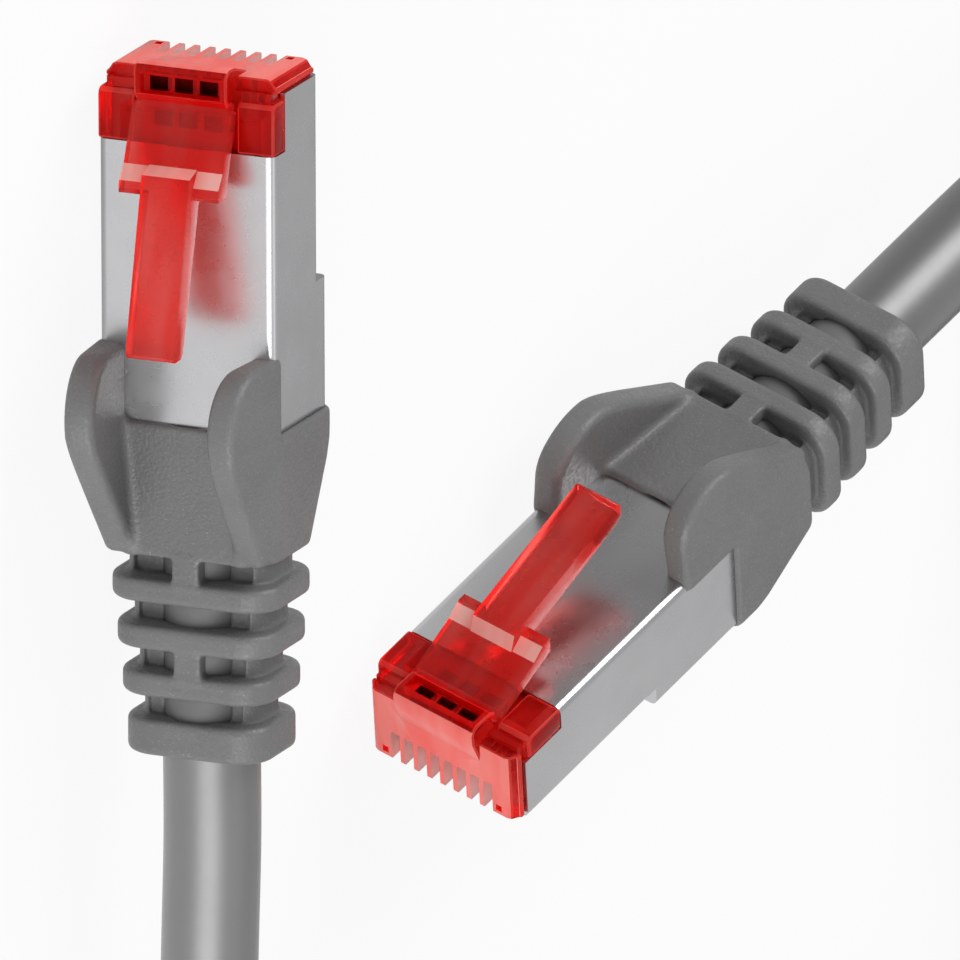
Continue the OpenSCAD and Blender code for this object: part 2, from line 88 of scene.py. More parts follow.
def drop(half, bottom, r):
    """How far a rounded lower edge reaches below the plug's axes."""
    return math.sin(PLUG_ROLL) * (half - r) - math.cos(PLUG_ROLL) * (bottom + r) + r


NOSE_LOW = drop(HALF_W, 0, SHIELD_R)
BOOT_LOW = drop(BOOT_HALF, BOOT_BOTTOM, BOOT_R)
PLUG_PITCH = math.atan((BOOT_LOW - NOSE_LOW) / (BOOT_Y - SIDE_Y))
REST_H = NOSE_LOW * math.cos(PLUG_PITCH) - SIDE_Y * math.sin(PLUG_PITCH) + TABLE_GAP


def plug_matrix(place, roll, yaw):
    tilt = Matrix.Rotation(-PLUG_PITCH, 4, "Y") @ Matrix.Rotation(roll, 4, "X")
    turn = Matrix.Rotation(yaw, 4, "Z") @ tilt @ Matrix.Rotation(-math.pi / 2, 4, "Z")
    return Matrix.Translation((*place, REST_H)) @ turn


PLUGS = {
    "a": plug_matrix(PLUG_A_PLACE, PLUG_ROLL, 0.0),
    "b": plug_matrix(PLUG_B_PLACE, -PLUG_ROLL, PLUG_B_YAW),
}


def linked(thing):
    scene.collection.objects.link(thing)
    return thing


# Camera at the photograph's view: its direction and roll, where it sees plug a's place in its own axes,
# and its focal length in the photograph's pixels
CAM_AZIMUTH = math.radians(-111.965)
CAM_ELEVATION = math.radians(36.545)
CAM_ROLL = math.radians(104.773)
PLUG_A_SEEN = Vector((-19.431, 27.386, -2600.0))
FOCAL_PX = 42821.9
PHOTO_PX = 960
SENSOR_W = 36.0


def camera():
    flat = math.cos(CAM_ELEVATION)
    back = Vector((flat * math.cos(CAM_AZIMUTH), flat * math.sin(CAM_AZIMUTH), math.sin(CAM_ELEVATION)))
    level = Vector((0, 0, 1)).cross(back).normalized()
    upright = back.cross(level)
    right = math.cos(CAM_ROLL) * level + math.sin(CAM_ROLL) * upright
    up = -math.sin(CAM_ROLL) * level + math.cos(CAM_ROLL) * upright
    turn = Matrix((right, up, back)).transposed()
    place = Vector((*PLUG_A_PLACE, 0)) - turn @ PLUG_A_SEEN
    data = bpy.data.cameras.new("camera")
    data.sensor_width = SENSOR_W
    data.lens = FOCAL_PX / PHOTO_PX * SENSOR_W
    data.clip_start = 0.1
    data.clip_end = 200
    scene.camera = linked(bpy.data.objects.new("camera", data))
    scene.camera.matrix_world = Matrix.Translation(place * MM) @ turn.to_4x4()


camera()


# Materials, with scales per metre and bump depths in metres
def new_material(name):
    material = bpy.data.materials.new(name)
    material.use_nodes = True
    tree = material.node_tree
    return material, tree, tree.nodes["Principled BSDF"]


def add(tree, kind, **values):
    """A new node, with its inputs or its settings given by name."""
    node = tree.nodes.new(kind)
    for key, value in values.items():
        if key in node.inputs:
            node.inputs[key].default_value = value
        else:
            setattr(node, key, value)
    return node


def set_inputs(node, values):
    for key, value in values.items():
        node.inputs[key].default_value = value


def coords(tree):
    return add(tree, "ShaderNodeTexCoord").outputs["Object"]


def noise(tree, place, scale, detail=3.0, rough=0.55):
    node = add(tree, "ShaderNodeTexNoise", Scale=scale, Detail=detail, Roughness=rough)
    tree.links.new(place, node.inputs["Vector"])
    return node.outputs["Fac"]


def ramp(tree, factor, first, second, stops=(0.3, 0.7)):
    """Spreads a factor between two greys, given as numbers, or two colours."""
    node = add(tree, "ShaderNodeValToRGB")
    for element, stop, tone in zip(node.color_ramp.elements, stops, (first, second)):
        element.position = stop
        element.color = (*tone, 1.0) if isinstance(tone, tuple) else (tone, tone, tone, 1.0)
    tree.links.new(factor, node.inputs["Fac"])
    return node.outputs["Color"]


def bump(tree, shader, height, strength, depth):
    node = add(tree, "ShaderNodeBump", Strength=strength, Distance=depth)
    tree.links.new(height, node.inputs["Height"])
    tree.links.new(node.outputs["Normal"], shader.inputs["Normal"])


def moulded(name, dark, light, rough, grain, depth):
    """Moulded plastic: soft tone changes, and a fine grain in gloss and height."""
    material, tree, shader = new_material(name)
    place = coords(tree)
    tree.links.new(ramp(tree, noise(tree, place, scale=180.0), dark, light), shader.inputs["Base Color"])
    fine = noise(tree, place, grain, detail=2.0, rough=0.6)
    tree.links.new(ramp(tree, fine, *rough), shader.inputs["Roughness"])
    bump(tree, shader, fine, strength=0.5, depth=depth)
    return material


def boot_grey():
    """The boot's moulding, with a few pale specks in its grain."""
    material = moulded("boot_grey", 0.164, 0.188, rough=(0.32, 0.56), grain=4200.0, depth=0.00012)
    tree = material.node_tree
    colour = tree.nodes["Principled BSDF"].inputs["Base Color"]
    plain = colour.links[0].from_socket
    specks = ramp(tree, noise(tree, coords(tree), scale=7600.0, detail=1.0), 0.0, 1.0, stops=(0.66, 0.74))
    mix = add(tree, "ShaderNodeMix", data_type="RGBA")
    tree.links.new(specks, mix.inputs["Factor"])
    tree.links.new(plain, mix.inputs["A"])
    mix.inputs["B"].default_value = (0.27, 0.27, 0.27, 1.0)
    tree.links.new(mix.outputs["Result"], colour)
    return material


def cable_grey():
    """Smooth cable jacket: soft grey under a glossier skin."""
    dark = (0.070, 0.070, 0.072)
    light = (0.082, 0.082, 0.084)
    material = moulded("cable_grey", dark, light, rough=(0.46, 0.52), grain=1500.0, depth=0.00002)
    skin = {"Coat Weight": 1.0, "Coat Roughness": 0.42, "Coat IOR": 1.9, "Specular IOR Level": 1.0}
    set_inputs(material.node_tree.nodes["Principled BSDF"], skin)
    return material


def plated(name, dark, light, rough, scale):
    """Plated metal: faint clouding and a little unevenness in gloss."""
    material, tree, shader = new_material(name)
    place = coords(tree)
    shader.inputs["Metallic"].default_value = 1.0
    tree.links.new(ramp(tree, noise(tree, place, scale), dark, light), shader.inputs["Base Color"])
    tree.links.new(ramp(tree, noise(tree, place, scale * 6), *rough), shader.inputs["Roughness"])
    return material


def clear_red(name, dark, light, through, gloss):
    """Clear tinted plastic: part of the light goes through, part is spread by the surface."""
    material, tree, shader = new_material(name)
    place = coords(tree)
    streaks = add(tree, "ShaderNodeMapping", Scale=(1.0, 0.2, 0.2))
    tree.links.new(place, streaks.inputs["Vector"])
    tone = noise(tree, streaks.outputs["Vector"], scale=620.0, detail=1.0)
    tree.links.new(ramp(tree, tone, dark, light, stops=(0.38, 0.62)), shader.inputs["Base Color"])
    tree.links.new(ramp(tree, noise(tree, place, scale=900.0), 0.05, 0.10), shader.inputs["Roughness"])
    set_inputs(shader, {"Transmission Weight": through, "IOR": 1.18, "Specular IOR Level": gloss})
    bump(tree, shader, noise(tree, place, scale=420.0, detail=1.0), strength=0.06, depth=0.0002)
    return material


def braid():
    """Woven wire, as waves of light and dark metal."""
    material, tree, shader = new_material("braid")
    waves = add(tree, "ShaderNodeTexWave", Scale=900.0, Distortion=2.0, Detail=1.0)
    tree.links.new(coords(tree), waves.inputs["Vector"])
    tones = ramp(tree, waves.outputs["Fac"], 0.3, 0.62, stops=(0.2, 0.8))
    tree.links.new(tones, shader.inputs["Base Color"])
    set_inputs(shader, {"Metallic": 1.0, "Roughness": 0.35})
    bump(tree, shader, waves.outputs["Fac"], strength=0.6, depth=0.0001)
    return material


def strap():
    """Black cloth of small loops."""
    material, tree, shader = new_material("strap")
    loops = add(tree, "ShaderNodeTexVoronoi", Scale=2600.0)
    tree.links.new(coords(tree), loops.inputs["Vector"])
    tones = ramp(tree, loops.outputs["Distance"], 0.045, 0.012, stops=(0.0, 0.6))
    tree.links.new(tones, shader.inputs["Base Color"])
    set_inputs(shader, {"Roughness": 0.9, "Sheen Weight": 0.3})
    bump(tree, shader, loops.outputs["Distance"], strength=0.7, depth=0.0002)
    return material


RED = clear_red("clear_red", (0.96, 0.003, 0.002), (1.0, 0.020, 0.015), through=0.74, gloss=0.06)
# Painted highlight: a lighter red on the rounded edges and the shoulders' rounded fronts
EDGE_HIGHLIGHT = clear_red("clear_red_painted_edge_highlight", (1.0, 0.025, 0.02), (1.0, 0.075, 0.06), through=0.50, gloss=0.3)
# Painted light: a pale pink on the slot walls for the light that shows through the fingers
SLOT_LIGHT = clear_red("clear_red_slot_painted_light", (1.0, 0.52, 0.49), (1.0, 0.62, 0.59), through=0.30, gloss=0.2)
# Painted light: the latch gets a lighter copy of the clear red for the light on and through it
LATCH_RED_LIT = clear_red("clear_red_latch_painted_lit", (1.0, 0.055, 0.045), (1.0, 0.125, 0.105), through=0.80, gloss=0.35)
# Painted highlight: a pale pink on the sloping facets of the latch
FACET_HIGHLIGHT = clear_red("clear_red_painted_facet_highlight", (0.97, 0.42, 0.37), (1.0, 0.58, 0.52), through=0.30, gloss=0.5)
# Painted light: a lighter, less clear red on the nose's front faces for the light that falls on them
FRONT_LIT = clear_red("clear_red_front_painted_lit", (1.0, 0.17, 0.15), (1.0, 0.25, 0.22), through=0.05, gloss=0.4)
# Painted shade: a near black red on the windows' floors and sides, for the dark inside
WINDOW_SHADE = clear_red("window_painted_shade", (0.12, 0.002, 0.002), (0.20, 0.004, 0.004), through=0.0, gloss=0.03)
NICKEL = plated("nickel", (0.49, 0.49, 0.50), (0.57, 0.57, 0.58), rough=(0.25, 0.31), scale=90.0)
GOLD = plated("gold", (0.72, 0.48, 0.16), (0.86, 0.62, 0.26), rough=(0.18, 0.28), scale=300.0)
FOIL = plated("foil", (0.55, 0.56, 0.57), (0.72, 0.72, 0.74), rough=(0.15, 0.4), scale=400.0)
BRAID = braid()
BOOT = boot_grey()
CABLE = cable_grey()
STRAP = strap()
CORE = moulded(
    "jacket_core", (0.150, 0.150, 0.152), (0.170, 0.170, 0.172),
    rough=(0.5, 0.6), grain=1500.0, depth=0.00002,
)
BAR = moulded(
    "bar_black", (0.012, 0.012, 0.013), (0.03, 0.03, 0.032),
    rough=(0.4, 0.6), grain=2000.0, depth=0.00003,
)
WIRE_TONES = {
    "orange": ((0.75, 0.24, 0.02), (0.85, 0.32, 0.04)),
    "green": ((0.02, 0.19, 0.03), (0.04, 0.26, 0.05)),
    "blue": ((0.02, 0.07, 0.40), (0.04, 0.11, 0.48)),
    "brown": ((0.11, 0.04, 0.012), (0.16, 0.06, 0.02)),
}


# The CAD pieces that stay get these materials
def dress(node, material):
    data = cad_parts[node].data
    data.materials.clear()
    data.materials.append(material)


for side in PLUGS:
    dress(f"shield_shell_{side}", NICKEL)
    dress(f"contact_blades_{side}", GOLD)
    dress(f"load_bar_{side}", BAR)
    dress(f"pair_foils_{side}", FOIL)
    dress(f"braid_collar_{side}", BRAID)
    dress(f"jacket_end_{side}", CORE)
for colour, tones in WIRE_TONES.items():
    wire = moulded(f"wire_{colour}", *tones, rough=(0.3, 0.45), grain=1500.0, depth=0.00001)
    for side in PLUGS:
        dress(f"wire_pair_{colour}_{side}", wire)


# Mesh helpers, in plug axes
def arc(centre, radii, start, end, steps):
    """Points along an ellipse from one angle to another, in degrees."""
    turns = np.radians(np.linspace(start, end, steps + 1))
    return [(centre[0] + radii[0] * math.cos(a), centre[1] + radii[1] * math.sin(a)) for a in turns]


def circle(centre, r, count):
    return arc(centre, (r, r), 0, 360, count)[:-1]


def prism(mesh, outline, axis, start, end):
    """A flat outline thickened along x, which takes (y, z) points, or along z, which takes (x, y)."""
    def point(p, t):
        return (t, *p) if axis == "x" else (*p, t)
    low = [mesh.verts.new(point(p, start)) for p in outline]
    high = [mesh.verts.new(point(p, end)) for p in outline]
    faces = [mesh.faces.new(low), mesh.faces.new(high)]
    for i in range(len(outline)):
        j = (i + 1) % len(outline)
        faces.append(mesh.faces.new((low[i], low[j], high[j], high[i])))
    bmesh.ops.recalc_face_normals(mesh, faces=faces)


def block(mesh, x, y, z):
    prism(mesh, [(y[0], z[0]), (y[1], z[0]), (y[1], z[1]), (y[0], z[1])], "x", *x)


def as_object(name, mesh):
    data = bpy.data.meshes.new(name)
    mesh.to_mesh(data)
    mesh.free()
    return linked(bpy.data.objects.new(name, data))


def piece(name, build):
    mesh = bmesh.new()
    build(mesh)
    return as_object(name, mesh)


def applied(thing):
    """Turns a piece's modifiers into its mesh."""
    graph = bpy.context.evaluated_depsgraph_get()
    data = bpy.data.meshes.new_from_object(thing.evaluated_get(graph))
    thing.modifiers.clear()
    thing.data = data
    return thing


def combine(thing, tool, operation):
    """Joins a shape to a piece or cuts it away."""
    boolean = thing.modifiers.new("boolean", "BOOLEAN")
    boolean.operation = operation
    boolean.solver = "EXACT"
    boolean.object = tool
    applied(thing)
    bpy.data.objects.remove(tool)


SHARP = math.radians(35)
WELD = 0.002


def round_edges(thing, width):
    bevel = thing.modifiers.new("bevel", "BEVEL")
    bevel.width = width
    bevel.segments = 3
    bevel.limit_method = "ANGLE"
    bevel.angle_limit = SHARP
    return applied(thing)


def shade(thing):
    """Joins points that meet, and shades the piece smooth across all but its sharp edges."""
    mesh = bmesh.new()
    mesh.from_mesh(thing.data)
    bmesh.ops.remove_doubles(mesh, verts=mesh.verts, dist=WELD)
    for face in mesh.faces:
        face.smooth = True
    for edge in mesh.edges:
        edge.smooth = len(edge.link_faces) == 2 and edge.calc_face_angle(0) < SHARP
    mesh.to_mesh(thing.data)
    mesh.free()


def paint(thing, base, coats):
    """Gives a piece its base material, and each coat's material to the faces that pass the coat's test."""
    thing.data.materials.append(base)
    mesh = bmesh.new()
    mesh.from_mesh(thing.data)
    for i, (material, test) in enumerate(coats, start=1):
        thing.data.materials.append(material)
        for face in mesh.faces:
            if test(face):
                face.material_index = i
    mesh.to_mesh(thing.data)
    mesh.free()


def put_on_plugs(thing, node, body):
    """Puts a piece on both plugs, in place of the CAD node of that name."""
    thing.data.transform(Matrix.Scale(MM, 4))
    for side, plug in PLUGS.items():
        look = thing if side == "a" else linked(thing.copy())
        look.name = f"{node}_look_{side}"
        place = plug.copy()
        place.translation = plug.translation * MM
        look.matrix_world = place
        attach(look, body.format(side))
        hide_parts(f"{node}_{side}")


# Nose housing
LIP_H = 5.7
LIP_T = 1.4
FOOT_H = 0.25
NOSE_END = 13.0
PLATE_HALF = HALF_W - 0.15
PLATE_CHAMFER = 0.6
CORE_HALF = HALF_W - SHIELD_T - FIT
CORE_BOTTOM = SHIELD_T + FIT
CORE_TOP = PLUG_H - SHIELD_T - FIT
LEDGE_H = SIDE_H + SNUG
SHOULDER_W = 2.45
SHOULDER_R = 0.5
SHOULDER_IN = HALF_W - SHOULDER_W
SHOULDER_END = TOP_Y - SNUG
HUMP_HALF = 3.1
HUMP_OUT = 0.65
HUMP_H = 7.45
HUMP_FOOT = 4.2
TROUGH_Y = 0.05
TROUGH_END = 1.25
TROUGH_WALL = 0.45
TROUGH_DEEP = 0.65
TROUGH_HALF = HUMP_HALF - TROUGH_WALL
TROUGH_FLOOR = HUMP_H - TROUGH_DEEP
CONTACTS = 8
CONTACT_PITCH = 1.016
SLOT_W = 0.68
SLOT_H = 2.65
SLOT_END = 6.2
SLOTS_HALF = 4.0
NOTCH_X = (4.15, 4.6)
NOTCH_Z = (0.6, 1.1)
NOTCH_DEEP = 0.45
CAVITY_Y = 2.6
CAVITY_HALF = 4.7
CAVITY_TOP = 5.75
WINDOW_W = 1.2
WINDOW_LEN = 0.95
WINDOW_PITCH = 1.65
WINDOW_DEEP = 0.7
WINDOW_SKIN = 0.07
WINDOW_ROWS = ((TROUGH_Y + 0.15, TROUGH_FLOOR - WINDOW_DEEP), (CAVITY_Y, CAVITY_TOP + WINDOW_SKIN))
WINDOWS = [
    ((x - WINDOW_W / 2, x + WINDOW_W / 2), (y, y + WINDOW_LEN), floor)
    for y, floor in WINDOW_ROWS for x in (-WINDOW_PITCH, 0, WINDOW_PITCH)
]
HINGE_Y = 1.9
HINGE_Z = CORE_TOP + 0.4
HINGE = (HINGE_Y, HINGE_Z)
BEAD_R = 0.5
BEAD_HALF = HUMP_HALF - FIT
BEAD_PLAY = 0.06
PLATE_ROUND = 0.13
SHOULDER_ROUND = 0.15
HUMP_ROUND = 0.16

# Which faces get a window's painted shade, and which an edge's painted highlight
SMALL_AREA = 1.3
WINDOW_SIDE = 0.58
NARROW = 0.09


def nose_core(mesh):
    block(mesh, (-CORE_HALF, CORE_HALF), (SIDE_Y - 2 * FIT, NOSE_END), (CORE_BOTTOM, CORE_TOP - FIT))


def nose_plate(mesh):
    plan = [
        (PLATE_HALF - 0.75, 0.0), (PLATE_HALF - 0.42, 0.1), (PLATE_HALF - 0.28, 0.34),
        (PLATE_HALF - 0.15, 0.52), (PLATE_HALF, PLATE_CHAMFER), (PLATE_HALF, SIDE_Y - FIT),
        (CORE_HALF, SIDE_Y - FIT), (CORE_HALF, LIP_T),
    ]
    prism(mesh, plan + [(-x, y) for x, y in reversed(plan)], "z", FOOT_H, LIP_H)


def nose_shoulders(mesh):
    front = arc((LIP_T + SHOULDER_R, PLUG_H - SHOULDER_R), (SHOULDER_R, SHOULDER_R), 180, 90, 4)
    outline = [(LIP_T, LEDGE_H)] + front + [(SHOULDER_END, PLUG_H), (SHOULDER_END, LEDGE_H)]
    prism(mesh, outline, "x", SHOULDER_IN, HALF_W)
    prism(mesh, outline, "x", -HALF_W, -SHOULDER_IN)


def nose_deck(mesh):
    half = PLATE_HALF - FIT
    block(mesh, (-half, half), (LIP_T - FIT, SHOULDER_END), (LEDGE_H, CORE_TOP - 2 * FIT))


def nose_hump(mesh):
    outline = [
        (0.3, HUMP_FOOT), (0.0, HUMP_FOOT), (0.03 - HUMP_OUT, HUMP_H - 1.35), (-HUMP_OUT, HUMP_H - 0.55),
        (0.2 - HUMP_OUT, HUMP_H - 0.15), (0.55 - HUMP_OUT, HUMP_H), (HINGE_Y - 0.6, HUMP_H - 0.05),
        (HINGE_Y, HUMP_H - 0.45), (HINGE_Y + 0.5, HUMP_H - 1.15), (HINGE_Y + 0.6, HUMP_FOOT + 0.8),
    ]
    prism(mesh, outline, "x", -HUMP_HALF, HUMP_HALF)


def nose_trough(mesh):
    block(mesh, (-TROUGH_HALF, TROUGH_HALF), (TROUGH_Y, TROUGH_END), (TROUGH_FLOOR, HUMP_H + PAST))


def nose_slots(mesh):
    for i in range(CONTACTS):
        x = (i - (CONTACTS - 1) / 2) * CONTACT_PITCH
        block(mesh, (x - SLOT_W / 2, x + SLOT_W / 2), (-PAST, SLOT_END), (-PAST, SLOT_H))


def nose_notches(mesh):
    near, far = NOTCH_X
    block(mesh, (near, far), (-PAST, NOTCH_DEEP), NOTCH_Z)
    block(mesh, (-far, -near), (-PAST, NOTCH_DEEP), NOTCH_Z)


def nose_cavity(mesh):
    """Room for the wire holder, which reaches just below the slots' roofs so that they open into it."""
    block(mesh, (-CAVITY_HALF, CAVITY_HALF), (CAVITY_Y, NOSE_END + PAST), (SLOT_H - 0.01, CAVITY_TOP))


def nose_windows(mesh):
    for x, y, floor in WINDOWS:
        block(mesh, x, y, (floor, HUMP_H + PAST))


def hinge_seat(mesh):
    half = BEAD_HALF + 2 * BEAD_PLAY
    prism(mesh, circle(HINGE, BEAD_R + BEAD_PLAY, 24), "x", -half, half)


def within(value, low, high):
    return low - 0.02 < value < high + 0.02


def window_shade_face(face):
    """The floors and sides of the windows, all small faces, which get near black as painted shade for the
    dark inside.
    """
    c = face.calc_center_median()
    return face.calc_area() < SMALL_AREA and any(
        within(c.x, *x) and within(c.y, *y) and within(c.z, floor - 0.03, floor + WINDOW_SIDE)
        for x, y, floor in WINDOWS
    )


# The nose's front faces, which get the lighter red of painted light
def lit_front_face(face):
    return face.normal.y < -0.85 and face.calc_center_median().y < PLATE_CHAMFER


def slot_light_face(face):
    """The walls and roofs of the contact slots, painted pale pink for the light that shows through the
    fingers.
    """
    c = face.calc_center_median()
    in_slots = abs(c.x) < SLOTS_HALF and 0.0 < c.y < SLOT_END + 0.1 and c.z < SLOT_H + 0.05
    return in_slots and (abs(face.normal.x) > 0.7 or face.normal.z < -0.7)


def edge_highlight_face(face):
    """The rounded edges and the shoulders' rounded fronts, which get a lighter red as a painted highlight.
    """
    c = face.calc_center_median()
    on_shoulder = abs(c.x) > SHOULDER_IN and c.y < LIP_T + 0.6 and c.z > PLUG_H - 0.7
    if on_shoulder and face.normal.y < -0.2 and face.normal.z > 0.2:
        return True
    return face.calc_area() < NARROW * max(edge.calc_length() for edge in face.edges)


def nose_housing():
    nose = piece("nose", nose_core)
    blocks = ((nose_plate, PLATE_ROUND), (nose_shoulders, SHOULDER_ROUND), (nose_hump, HUMP_ROUND))
    for build, width in blocks:
        combine(nose, round_edges(piece("tool", build), width), "UNION")
    combine(nose, piece("tool", nose_deck), "UNION")
    for build in (nose_trough, nose_slots, nose_notches, nose_cavity, nose_windows, hinge_seat):
        combine(nose, piece("tool", build), "DIFFERENCE")
    shade(nose)
    paint(nose, RED, [(EDGE_HIGHLIGHT, edge_highlight_face), (SLOT_LIGHT, slot_light_face), (WINDOW_SHADE, window_shade_face), (FRONT_LIT, lit_front_face)])
    put_on_plugs(nose, "nose_housing", "cable")


nose_housing()


# Latch
LATCH_W = 6.6
CATCH_Y = 7.1
CATCH_H = 9.2
PLATE_T = 1.1
TAIL_W = 3.2
TAIL_START = CATCH_Y - 1.2
TAIL_Y = 16.65
TAIL_H = 12.1
TAIL_T = 1.45
LATCH_ROUND = 0.14


def latch_plate(mesh):
    root = HINGE_Y + 0.05
    outline = [
        (root, HINGE_Z + 0.45), (CATCH_Y - 1.65, CATCH_H - 0.75), (CATCH_Y - 0.75, CATCH_H - 0.1),
        (CATCH_Y - 0.5, CATCH_H), (CATCH_Y, CATCH_H), (CATCH_Y, CATCH_H - PLATE_T),
        (root + 0.25, HINGE_Z - 0.2), (root, HINGE_Z),
    ]
    prism(mesh, outline, "x", -LATCH_W / 2, LATCH_W / 2)


def latch_tail(mesh):
    outline = [
        (TAIL_START - 0.6, CATCH_H - 1.0), (TAIL_START - 0.15, CATCH_H + 0.35),
        (TAIL_START + 0.05, CATCH_H + 0.42), (TAIL_Y - 0.3, TAIL_H - 0.02), (TAIL_Y, TAIL_H - 0.25),
        (TAIL_Y, TAIL_H - TAIL_T + 0.3), (TAIL_Y - 0.3, TAIL_H - TAIL_T),
        (CATCH_Y, CATCH_H - PLATE_T), (TAIL_START - 0.5, CATCH_H - 1.2),
    ]
    prism(mesh, outline, "x", -TAIL_W / 2, TAIL_W / 2)


def latch_bead(mesh):
    prism(mesh, circle(HINGE, BEAD_R, 18), "x", -BEAD_HALF, BEAD_HALF)


def latch_highlight_facet(face):
    """The sloping fronts of the catch and of the tail's step, which get a pale pink as a painted highlight.
    """
    faces_front = face.normal.y < -0.45 and face.normal.z > 0.25
    return faces_front and face.calc_center_median().y > 5.0 and face.calc_area() > 0.1


def latch():
    look = piece("latch", latch_plate)
    combine(look, piece("tool", latch_tail), "UNION")
    combine(look, piece("tool", latch_bead), "UNION")
    round_edges(look, LATCH_ROUND)
    shade(look)
    paint(look, LATCH_RED_LIT, [(FACET_HIGHLIGHT, latch_highlight_facet)])
    put_on_plugs(look, "latch", "plug_{}_latch")


latch()


# A closed surface from a field, which is negative inside the shape
def neighbours(field, axis):
    """The field's values, and the values one step further along an axis."""
    here = [slice(None)] * 3
    there = [slice(None)] * 3
    here[axis] = slice(0, -1)
    there[axis] = slice(1, None)
    return field[tuple(here)], field[tuple(there)]


def surface_points(field):
    """One point in each cell that the surface crosses, in steps of the grid, and its number in each cell."""
    cells = np.array(field.shape) - 1
    total = np.zeros((*cells, 3))
    count = np.zeros(cells)
    for axis in range(3):
        here, there = neighbours(field, axis)
        edges = np.stack(np.nonzero((here < 0) != (there < 0)), 1)
        start = here[tuple(edges.T)]
        end = there[tuple(edges.T)]
        crossings = edges.astype(float)
        crossings[:, axis] += start / (start - end)
        across = [other for other in range(3) if other != axis]
        for back in ((0, 0), (0, 1), (1, 0), (1, 1)):
            cell = edges.copy()
            cell[:, across] -= back
            real = ((cell >= 0) & (cell < cells)).all(1)
            np.add.at(total, tuple(cell[real].T), crossings[real])
            np.add.at(count, tuple(cell[real].T), 1)
    crossed = np.nonzero(count)
    number = -np.ones(cells, int)
    number[crossed] = np.arange(len(crossed[0]))
    return total[crossed] / count[crossed][:, None], number


def surface_quads(field, number):
    """A face around each edge of the grid that the surface crosses, turned outwards."""
    quads = []
    for axis in range(3):
        here, there = neighbours(field < 0, axis)
        edges = np.stack(np.nonzero(here != there), 1)
        across = [(axis + 1) % 3, (axis + 2) % 3]
        limits = np.array(number.shape)[across]
        edges = edges[((edges[:, across] > 0) & (edges[:, across] < limits)).all(1)]
        ring = []
        for back in ((1, 1), (0, 1), (0, 0), (1, 0)):
            cell = edges.copy()
            cell[:, across] -= back
            ring.append(number[tuple(cell.T)])
        quad = np.stack(ring, 1)
        flipped = ~here[tuple(edges.T)]
        quad[flipped] = quad[flipped][:, ::-1]
        quads.append(quad)
    return np.concatenate(quads)


def ease(u):
    """0 up to 0, 1 from 1 on, and smooth between."""
    c = np.clip(u, 0, 1)
    return c * c * (3 - 2 * c)


def either(a, b, fillet):
    """Inside one field or the other, with a fillet where they meet."""
    share = np.clip(0.5 + 0.5 * (b - a) / fillet, 0, 1)
    return b + (a - b) * share - fillet * share * (1 - share)


def both(a, b, r):
    """Inside both fields, with the edge between them rounded."""
    over_a = a + r
    over_b = b + r
    outside = np.hypot(np.maximum(over_a, 0), np.maximum(over_b, 0))
    return np.minimum(np.maximum(over_a, over_b), 0) + outside - r


def rounded(x, z, half, bottom, top, r):
    """Inside a rectangle with rounded corners, as wide to both sides."""
    return both(np.abs(x) - half, np.abs(z - (bottom + top) / 2) - (top - bottom) / 2, r)


def between(y, start, end):
    return np.abs(y - (start + end) / 2) - (end - start) / 2


def outline_field(y, z, outline):
    """Distance to a closed outline, negative inside."""
    gap = np.full(np.broadcast(y, z).shape, np.inf)
    inside = np.zeros(gap.shape, bool)
    for (y0, z0), (y1, z1) in zip(outline, outline[1:] + outline[:1]):
        dy = y1 - y0
        dz = z1 - z0
        t = np.clip(((y - y0) * dy + (z - z0) * dz) / (dy * dy + dz * dz), 0, 1)
        gap = np.minimum(gap, np.hypot(y - y0 - t * dy, z - z0 - t * dz))
        if dz:
            inside ^= ((z0 > z) != (z1 > z)) & (y < dy * (z - z0) / dz + y0)
    return np.where(inside, -gap, gap)


# Boot, as one rounded moulding
GRID_LOW = np.array([-6.9, 16.9, -2.2])
GRID_HIGH = np.array([6.9, 43.9, 13.1])
GRID_STEP = 0.14
SMOOTHING = 3
BODY_TAPER = 0.8
BODY_END_EDGE = 0.2
SIDE_EDGE = 0.9
SIDE_EDGE_Y = 25.3
EAR_Y = 17.4
EAR_H = 12.5
EAR_T = 2.0
EAR_LEAN = math.radians(5)
EAR_CREST = 3.8
EAR_FRONT_H = 9.3
EAR_FOOT = PLUG_H + SNUG - 0.6
EAR_ROOT = PLUG_H + SNUG - BOOT_R
EAR_END = BODY_END - FIT
EAR_SLOPE = [(22.9, 12.15), (23.6, 11.78), (24.4, 11.3), (25.4, 10.65), (EAR_END, 7.15)]
EAR_EDGE = 0.55
EAR_FILLET = 0.05
EAR_FILLET_IN = 0.65
EAR_FILLET_START = 0.8
RIB_W = 11.2
RIB_END_W = 9.5
RIB_H = 7.8
RIB_END_H = 7.2
RIB_R = 2.2
RIB_EDGE = 0.38
RIB_FILLET = 0.12
GROOVE_DEPTH = 0.9
GROOVE_FILLET = 0.25
NECK_R = 1.75
NECK_REACH = 1.1
WEB_HALF = 0.9
WEB_EDGE = 0.1
WEB_PROUD = 0.02
RECESS_WALL = 0.75
RECESS_REACH = 0.7
RECESS_EDGE = 0.3
RECESS_FLOOR = 2.1
POCKET_IN = 0.05
POCKET_TOP_IN = 0.25
POCKET_R = 0.5
COLLAR_R = CABLE_R + SNUG + 0.45
COLLAR_END = 28.5
BORE_Y = 22.0
BORE_IN = 0.02


def narrowing(y):
    """How far the body has drawn in, at its sides and belly, on the way to the ribs."""
    return BODY_TAPER * np.clip((y - BOOT_Y) / (BODY_END - BOOT_Y), 0, 1)


